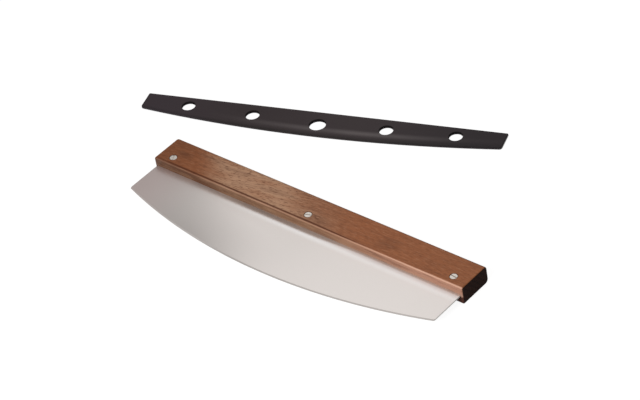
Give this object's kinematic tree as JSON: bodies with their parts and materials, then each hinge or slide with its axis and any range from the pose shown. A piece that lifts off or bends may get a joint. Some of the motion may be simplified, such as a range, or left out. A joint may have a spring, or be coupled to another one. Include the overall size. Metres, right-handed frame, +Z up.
{
  "type": "rocking pizza knife",
  "caption": "Rocking pizza knife with a long curved steel blade, a straight wooden bar handle and a slip-on plastic edge guard lying beside it.",
  "frame": {"origin": "centre of the handle's underside, the flat face that it lies on", "axes": "+X along the handle, +Y from the blade side towards the handle's back, +Z up from the table"},
  "size_m": [0.4429, 0.2678, 0.0178],
  "materials": {
    "handle_wood": "oiled walnut-brown hardwood, satin",
    "blade_steel": "satin brushed stainless steel",
    "guard_plastic": "black moulded plastic, fine satin",
    "fastener_steel": "bright turned steel"
  },
  "bodies": {
    "knife": {"handle": "handle_wood", "blade": "blade_steel", "screw_left": "fastener_steel", "barrel_nut_left": "fastener_steel", "screw_middle": "fastener_steel", "barrel_nut_middle": "fastener_steel", "screw_right": "fastener_steel", "barrel_nut_right": "fastener_steel"},
    "guard": {"edge_guard": "guard_plastic"}
  },
  "joints": [
    {"name": "guard_lift", "type": "slide", "parent": "knife", "child": "guard", "axis": [0, 0, 1], "range_m": [0, 0.12]}
  ]
}
